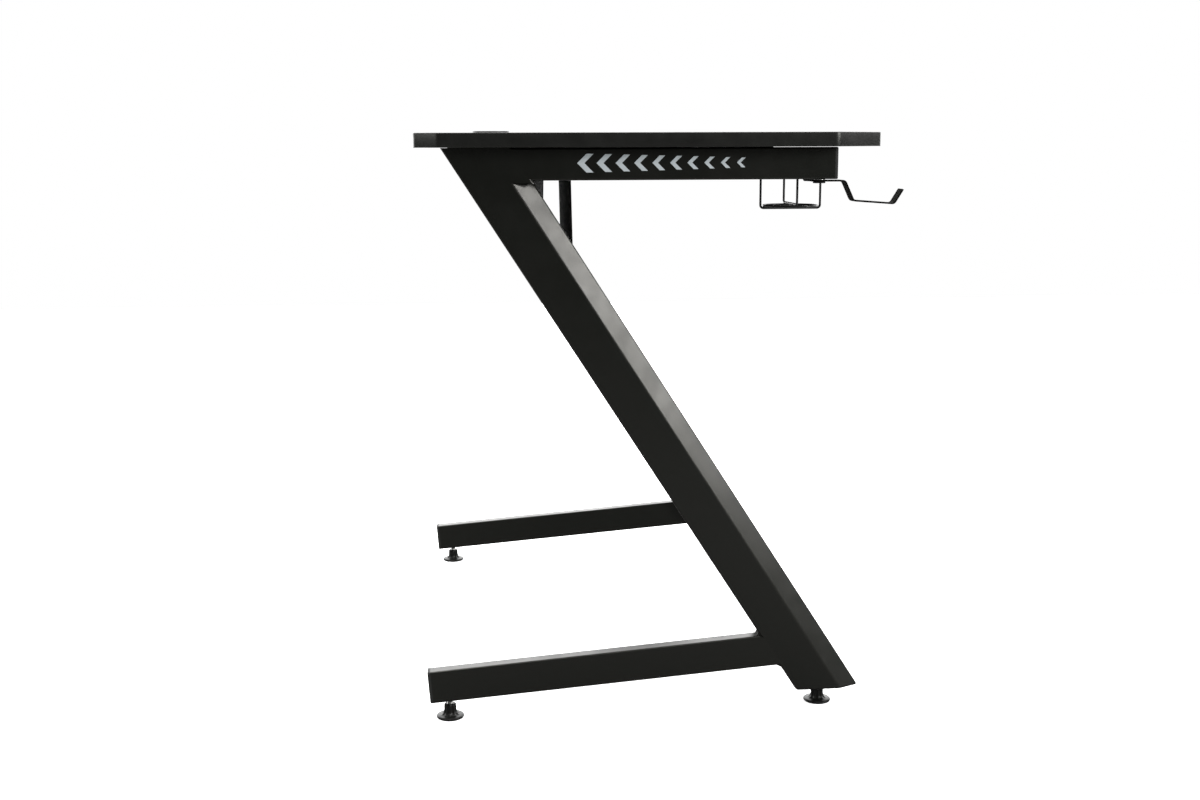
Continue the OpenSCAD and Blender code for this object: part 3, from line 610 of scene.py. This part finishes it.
for place in ("front_left", "front_right", "rear_left", "rear_right"):
    low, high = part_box(place + "_stud")
    middle = (low + high) / 2
    end, side = place.split("_")
    label = end + side.capitalize()
    buildPiece(label + "Stud", [closedShell(studGrid(middle.x, middle.y, low.z, high.z))],
               "zinc", place + "_foot", place + "_stud", sharpAngle=60)
    buildPiece(label + "Pad", [closedShell(padGrid(middle.x, middle.y))],
               "foot_plastic", place + "_foot", place + "_glide", sharpAngle=50)
print("levelling feet done")

# Small drops of metal where the basket wires are welded to each other
basketDrop = {
    "radius": 0.0021,
    "flat": 0.75,
    "hoopRise": 0.0014,
    "baseRise": 0.0012,
    "poleGap": 0.15,
    "rows": 9,
    "columns": 16,
    "uprights": 4,
}


# A squashed ball, rows by polar angle and columns by turn: across = radius * flat * sin(polar),
# height = rise * cos(polar)
def dropGrid(x, y, z, rise):
    polar = np.linspace(basketDrop["poleGap"], math.pi - basketDrop["poleGap"], basketDrop["rows"])[:, None]
    turn = np.linspace(0, 2 * math.pi, basketDrop["columns"], endpoint=False)[None, :]
    across = basketDrop["radius"] * basketDrop["flat"] * np.sin(polar)
    return np.stack([x + across * np.cos(turn), y + across * np.sin(turn),
                     np.broadcast_to(z + rise * np.cos(polar), (len(polar), turn.shape[1]))], -1)


hoopLow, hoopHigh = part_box("cup_hoop")
baseLow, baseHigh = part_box("cup_base_hoop")
cup, base = (hoopLow + hoopHigh) / 2, (baseLow + baseHigh) / 2
wireRadius = (baseHigh.z - baseLow.z) / 2
hoopReach = (hoopHigh.x - hoopLow.x) / 2  # the uprights stand against the hoop's outside
baseReach = (baseHigh.x - baseLow.x) / 2 - wireRadius
drops = []
for upright in range(basketDrop["uprights"]):
    bearing = upright * 2 * math.pi / basketDrop["uprights"]
    cosine, sine = math.cos(bearing), math.sin(bearing)
    drops.append(closedShell(dropGrid(cup.x + hoopReach * cosine, cup.y + hoopReach * sine, cup.z,
                                      basketDrop["hoopRise"])))
    lift = wireRadius if upright % 2 == 0 else -wireRadius  # one bent wire passes over the other
    drops.append(closedShell(dropGrid(cup.x + baseReach * cosine, cup.y + baseReach * sine, base.z + lift,
                                      basketDrop["baseRise"])))
buildPiece("basketWelds", drops, "wire_paint", "swivel")
print("basket welds done")

# Solids that keep their shape and get rounded edges
easing = {
    "mergeWithin": 0.000005,
    "flatWithin": math.radians(1),
    "sharpAngle": 30,
    "roundOver": math.radians(35),
    "segments": 2,
    # name, node, width of the rounding, finish and body
    "pieces": [
        ("outletCap", "grommet_cap", 0.0006, "outlet_plastic", "outlet_cap"),
        ("outletRing", "grommet_ring", 0.0007, "outlet_plastic", "desk"),
        ("bracketPlate", "swivel_bracket", 0.0003, "sheet_paint", "swivel"),
        ("pivotBolt", "pivot_bolt", 0.0004, "black_screw", "desk"),
    ],
}


# A copy of the solid: coincident points merged, flat triangles joined, and edges rounded
def easeEdges(name, node, width, slotName, body):
    mesh = frame["nodes"][node].data.copy()
    mesh.name = name
    shape = bmesh.new()
    shape.from_mesh(mesh)
    bmesh.ops.remove_doubles(shape, verts=shape.verts, dist=easing["mergeWithin"])
    bmesh.ops.dissolve_limit(shape, angle_limit=easing["flatWithin"], verts=shape.verts, edges=shape.edges)
    shape.to_mesh(mesh)
    shape.free()
    piece = finishPiece(name, mesh, slotName, body, [node], easing["sharpAngle"])
    rounding = piece.modifiers.new("easedEdges", "BEVEL")
    rounding.width = width
    rounding.segments = easing["segments"]
    rounding.limit_method = "ANGLE"
    rounding.angle_limit = easing["roundOver"]
    rounding.harden_normals = True


for entry in easing["pieces"]:
    easeEdges(*entry)
print("eased pieces done:", len(easing["pieces"]))

# Studio
studio = {
    "floorSize": 14.0,
    "floorLight": 0.86,  # its grey for the camera
    "floorShade": 0.21,  # its grey for every other ray
    "floorGlow": 0.7,
    "backdropX": 4.6,
    "backdropTall": 5.0,
    "backdropGlow": 4.0,
    "ambient": 0.10,
    # name, place, the point that it faces, its two sides and its power
    "lamps": [
        ("overhead", (0.2, 0.0, 3.2), (0, 0, 0.4), (3.4, 2.6), 240),
        ("front", (0.3, -3.6, 1.9), (0, 0, 0.6), (2.2, 1.4), 16),
        ("frontSide", (-2.35, -3.3, 1.95), (-0.4, 0.1, 0.5), (1.5, 1.75), 165),
        ("rear", (-0.8, 3.3, 1.8), (0, 0, 0.5), (1.6, 1.6), 32),
        ("behindCamera", (-3.4, -0.6, 2.9), (0, 0, 0.5), (2.4, 1.6), 14),
    ],
}


# One level for what the camera sees, and another for every other ray
def byRay(tree, cameraLevel, otherLevel, socket):
    path = tree.nodes.new("ShaderNodeLightPath")
    mix = tree.nodes.new("ShaderNodeMix")
    mix.inputs["A"].default_value = otherLevel
    mix.inputs["B"].default_value = cameraLevel
    tree.links.new(path.outputs["Is Camera Ray"], mix.inputs["Factor"])
    tree.links.new(mix.outputs["Result"], socket)


def flatPiece(name, corners, material):
    mesh = bpy.data.meshes.new(name)
    mesh.from_pydata(corners, [], [list(range(len(corners)))])
    made = bpy.data.objects.new(name, mesh)
    scene.collection.objects.link(made)
    mesh.materials.append(material)


# White paper: it takes shadows, and a little glow seen only by the camera keeps it white
def floorMaterial():
    made, tree, shader = newMaterial("studioFloor")
    shader.inputs["Roughness"].default_value = 0.9
    shader.inputs["Specular IOR Level"].default_value = 0.0
    shader.inputs["Emission Color"].default_value = (1, 1, 1, 1)
    byRay(tree, studio["floorLight"], studio["floorShade"], shader.inputs["Base Color"])
    byRay(tree, studio["floorGlow"], 0, shader.inputs["Emission Strength"])
    return made


# White for the camera, and stronger in what the paint mirrors
def backdropMaterial():
    made, tree, shader = newMaterial("studioBackdrop")
    shader.inputs["Base Color"].default_value = (0, 0, 0, 1)
    shader.inputs["Specular IOR Level"].default_value = 0.0
    shader.inputs["Emission Color"].default_value = (1, 1, 1, 1)
    byRay(tree, 1, studio["backdropGlow"], shader.inputs["Emission Strength"])
    return made


half = studio["floorSize"] / 2
flatPiece("studioFloor", [(-half, -half, 0), (half, -half, 0), (half, half, 0), (-half, half, 0)],
          floorMaterial())
backX, tall = studio["backdropX"], studio["backdropTall"]
flatPiece("studioBackdrop", [(backX, -half, 0), (backX, half, 0), (backX, half, tall), (backX, -half, tall)],
          backdropMaterial())

world = bpy.data.worlds.new("studioWorld")
scene.world = world
world.use_nodes = True
surround = world.node_tree.nodes["Background"]
surround.inputs["Color"].default_value = (1, 1, 1, 1)
byRay(world.node_tree, 1, studio["ambient"], surround.inputs["Strength"])

for name, at, towards, sizes, power in studio["lamps"]:
    light = bpy.data.lights.new(name, "AREA")
    light.shape = "RECTANGLE"
    light.size, light.size_y = sizes
    light.energy = power
    holder = bpy.data.objects.new(name, light)
    scene.collection.objects.link(holder)
    holder.location = at
    aim = Vector(towards) - Vector(at)
    holder.rotation_euler = aim.to_track_quat("-Z", "Y").to_euler()
print("studio lit:", len(studio["lamps"]), "lamps")

# Camera, solved from the photograph's edges
shot = {
    "at": (-2.2087, 0.2485, 0.7455),
    "down": 10.02,
    "turned": 5.29,
    "rolled": -0.18,
    "lens": 43.98,
    "sensor": 36,
    "nearest": 0.05,
    "farthest": 50,
}
down, turned = math.radians(shot["down"]), math.radians(shot["turned"])
ahead = Vector((math.cos(down) * math.cos(turned), -math.cos(down) * math.sin(turned), -math.sin(down)))
camera = bpy.data.objects.new("camera", bpy.data.cameras.new("camera"))
scene.collection.objects.link(camera)
camera.location = shot["at"]
roll = Matrix.Rotation(math.radians(shot["rolled"]), 4, "Z")
camera.rotation_euler = (ahead.to_track_quat("-Z", "Y").to_matrix().to_4x4() @ roll).to_euler()
camera.data.lens = shot["lens"]
camera.data.sensor_width = shot["sensor"]
camera.data.clip_start = shot["nearest"]
camera.data.clip_end = shot["farthest"]
scene.camera = camera
scene.view_settings.view_transform = "Standard"

print("finished")
